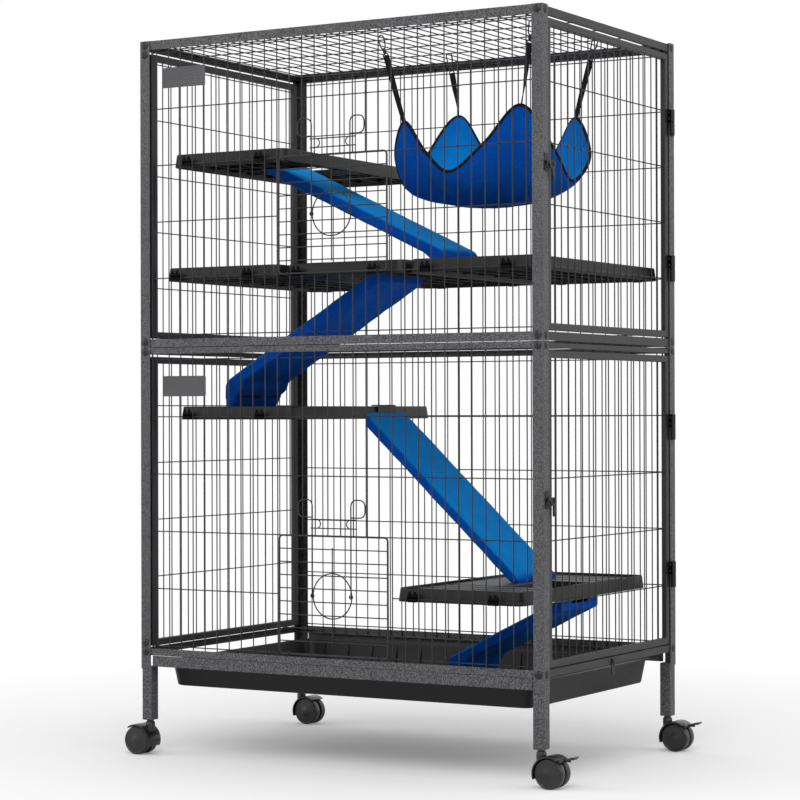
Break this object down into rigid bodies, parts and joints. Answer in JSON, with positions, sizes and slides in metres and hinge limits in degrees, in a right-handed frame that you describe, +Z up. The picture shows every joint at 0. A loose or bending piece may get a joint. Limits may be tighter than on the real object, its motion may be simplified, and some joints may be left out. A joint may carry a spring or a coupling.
{
  "type": "ferret cage on casters",
  "caption": "Tall two-storey wire cage for small pets, on casters, with swing doors, drop doors, shelves, sleeved ramps, a hammock and a slide-out pan.",
  "frame": {"origin": "on the floor, under the middle of the bounding box", "axes": "+X along the long side towards the tall doors, -Y towards the front with the small doors, +Z up"},
  "size_m": [0.8878, 0.5364, 1.2675],
  "materials": {
    "frame_paint": "hammered grey powder coat",
    "door_paint": "smooth dark grey coat",
    "wire_paint": "dark grey coat",
    "black_metal": "black coat",
    "black_plastic": "fine matte grain",
    "wheel_black": "satin",
    "blue_fleece": "brushed cloth",
    "strap_web": "woven webbing"
  },
  "bodies": {
    "cage": {"post_upper_front_left": "frame_paint", "post_lower_front_left": "frame_paint", "post_upper_front_right": "frame_paint", "post_lower_front_right": "frame_paint", "post_upper_rear_left": "frame_paint", "post_lower_rear_left": "frame_paint", "post_upper_rear_right": "frame_paint", "post_lower_rear_right": "frame_paint", "front_panel_upper": "frame_paint", "front_panel_lower": "frame_paint", "back_panel_upper": "frame_paint", "back_panel_lower": "frame_paint", "side_frame_upper": "door_paint", "hinge_upper_top": "black_metal", "hinge_upper_bottom": "black_metal", "left_panel_upper": "door_paint", "side_frame_lower": "door_paint", "hinge_lower_top": "black_metal", "hinge_lower_bottom": "black_metal", "left_panel_lower": "door_paint", "roof_panel": "frame_paint", "shelf_top": "black_plastic", "shelf_middle_left": "black_plastic", "shelf_middle_centre": "black_plastic", "shelf_middle_right": "black_plastic", "shelf_lower": "black_plastic", "shelf_bottom": "black_plastic", "ramp_1": "blue_fleece", "ramp_2": "blue_fleece", "ramp_3": "blue_fleece", "ramp_4": "blue_fleece", "hammock": "blue_fleece", "strap_front_left": "strap_web", "strap_front_right": "strap_web", "strap_rear_left": "strap_web", "strap_rear_right": "strap_web"},
    "door_upper": {"tall_door_upper": "door_paint"},
    "latch_upper": {"tall_door_latch_upper": "black_metal"},
    "drop_upper": {"drop_door_upper": "wire_paint"},
    "rod_upper_left": {"latch_rod_upper_left": "wire_paint"},
    "rod_upper_right": {"latch_rod_upper_right": "wire_paint"},
    "door_lower": {"tall_door_lower": "door_paint"},
    "latch_lower": {"tall_door_latch_lower": "black_metal"},
    "drop_lower": {"drop_door_lower": "wire_paint"},
    "rod_lower_left": {"latch_rod_lower_left": "wire_paint"},
    "rod_lower_right": {"latch_rod_lower_right": "wire_paint"},
    "pan": {"pan": "black_plastic"},
    "pan_clip": {"pan_clip": "black_metal"},
    "caster_front_left": {"caster_hood_front_left": "black_plastic"},
    "wheels_front_left": {"caster_wheels_front_left": "wheel_black"},
    "caster_front_right": {"caster_hood_front_right": "black_plastic"},
    "wheels_front_right": {"caster_wheels_front_right": "wheel_black"},
    "brake_front_right": {"caster_brake_front_right": "black_plastic"},
    "caster_rear_left": {"caster_hood_rear_left": "black_plastic"},
    "wheels_rear_left": {"caster_wheels_rear_left": "wheel_black"},
    "caster_rear_right": {"caster_hood_rear_right": "black_plastic"},
    "wheels_rear_right": {"caster_wheels_rear_right": "wheel_black"},
    "brake_rear_right": {"caster_brake_rear_right": "black_plastic"}
  },
  "joints": [
    {"name": "door_upper_swing", "type": "hinge", "parent": "cage", "child": "door_upper", "pos_m": [0.39769, 0.239, 1.01], "axis": [0, 0, 1], "range_deg": [0, 170]},
    {"name": "latch_upper_turn", "type": "hinge", "parent": "door_upper", "child": "latch_upper", "pos_m": [0.39219, -0.232, 1.01], "axis": [-1, 0, 0], "range_deg": [0, 60]},
    {"name": "drop_upper_fold", "type": "hinge", "parent": "cage", "child": "drop_upper", "pos_m": [-0.00881, -0.259, 0.8454], "axis": [1, 0, 0], "range_deg": [0, 150]},
    {"name": "rod_upper_left_squeeze", "type": "hinge", "parent": "drop_upper", "child": "rod_upper_left", "pos_m": [-0.04731, -0.2634, 0.9456], "axis": [0, 1, 0], "range_deg": [0, 3.5]},
    {"name": "rod_upper_right_squeeze", "type": "hinge", "parent": "drop_upper", "child": "rod_upper_right", "pos_m": [0.02969, -0.2634, 0.9456], "axis": [0, 1, 0], "range_deg": [-3.5, 0]},
    {"name": "door_lower_swing", "type": "hinge", "parent": "cage", "child": "door_lower", "pos_m": [0.39769, 0.239, 0.464], "axis": [0, 0, 1], "range_deg": [0, 170]},
    {"name": "latch_lower_turn", "type": "hinge", "parent": "door_lower", "child": "latch_lower", "pos_m": [0.39219, -0.232, 0.464], "axis": [-1, 0, 0], "range_deg": [0, 60]},
    {"name": "drop_lower_fold", "type": "hinge", "parent": "cage", "child": "drop_lower", "pos_m": [-0.00881, -0.259, 0.1942], "axis": [1, 0, 0], "range_deg": [0, 115]},
    {"name": "rod_lower_left_squeeze", "type": "hinge", "parent": "drop_lower", "child": "rod_lower_left", "pos_m": [-0.04731, -0.2634, 0.2957], "axis": [0, 1, 0], "range_deg": [0, 3.5]},
    {"name": "rod_lower_right_squeeze", "type": "hinge", "parent": "drop_lower", "child": "rod_lower_right", "pos_m": [0.02969, -0.2634, 0.2957], "axis": [0, 1, 0], "range_deg": [-3.5, 0]},
    {"name": "pan_slide", "type": "slide", "parent": "cage", "child": "pan", "axis": [-1, 0, 0], "range_m": [0, 0.18]},
    {"name": "pan_clip_turn", "type": "hinge", "parent": "cage", "child": "pan_clip", "pos_m": [0.39219, 0, 0.18125], "axis": [1, 0, 0], "range_deg": [-90, 90]},
    {"name": "caster_front_left_swivel", "type": "hinge", "parent": "cage", "child": "caster_front_left", "pos_m": [-0.39856, -0.24875, 0.062], "axis": [0, 0, 1], "continuous": true},
    {"name": "wheels_front_left_roll", "type": "hinge", "parent": "caster_front_left", "child": "wheels_front_left", "pos_m": [-0.41856, -0.24875, 0.025], "axis": [0, 1, 0], "continuous": true},
    {"name": "caster_front_right_swivel", "type": "hinge", "parent": "cage", "child": "caster_front_right", "pos_m": [0.38094, -0.24875, 0.062], "axis": [0, 0, 1], "continuous": true},
    {"name": "wheels_front_right_roll", "type": "hinge", "parent": "caster_front_right", "child": "wheels_front_right", "pos_m": [0.40094, -0.24875, 0.025], "axis": [0, 1, 0], "continuous": true},
    {"name": "brake_front_right_tip", "type": "hinge", "parent": "caster_front_right", "child": "brake_front_right", "pos_m": [0.41994, -0.24875, 0.04611], "axis": [0, 1, 0], "range_deg": [0, 18]},
    {"name": "caster_rear_left_swivel", "type": "hinge", "parent": "cage", "child": "caster_rear_left", "pos_m": [-0.39856, 0.24875, 0.062], "axis": [0, 0, 1], "continuous": true},
    {"name": "wheels_rear_left_roll", "type": "hinge", "parent": "caster_rear_left", "child": "wheels_rear_left", "pos_m": [-0.37856, 0.24875, 0.025], "axis": [0, 1, 0], "continuous": true},
    {"name": "caster_rear_right_swivel", "type": "hinge", "parent": "cage", "child": "caster_rear_right", "pos_m": [0.38094, 0.24875, 0.062], "axis": [0, 0, 1], "continuous": true},
    {"name": "wheels_rear_right_roll", "type": "hinge", "parent": "caster_rear_right", "child": "wheels_rear_right", "pos_m": [0.40094, 0.24875, 0.025], "axis": [0, 1, 0], "continuous": true},
    {"name": "brake_rear_right_tip", "type": "hinge", "parent": "caster_rear_right", "child": "brake_rear_right", "pos_m": [0.41994, 0.24875, 0.04611], "axis": [0, 1, 0], "range_deg": [0, 18]}
  ],
  "couplings": [
    {"joint": "rod_upper_right_squeeze", "follows": "rod_upper_left_squeeze", "ratio": -1},
    {"joint": "rod_lower_right_squeeze", "follows": "rod_lower_left_squeeze", "ratio": -1}
  ]
}
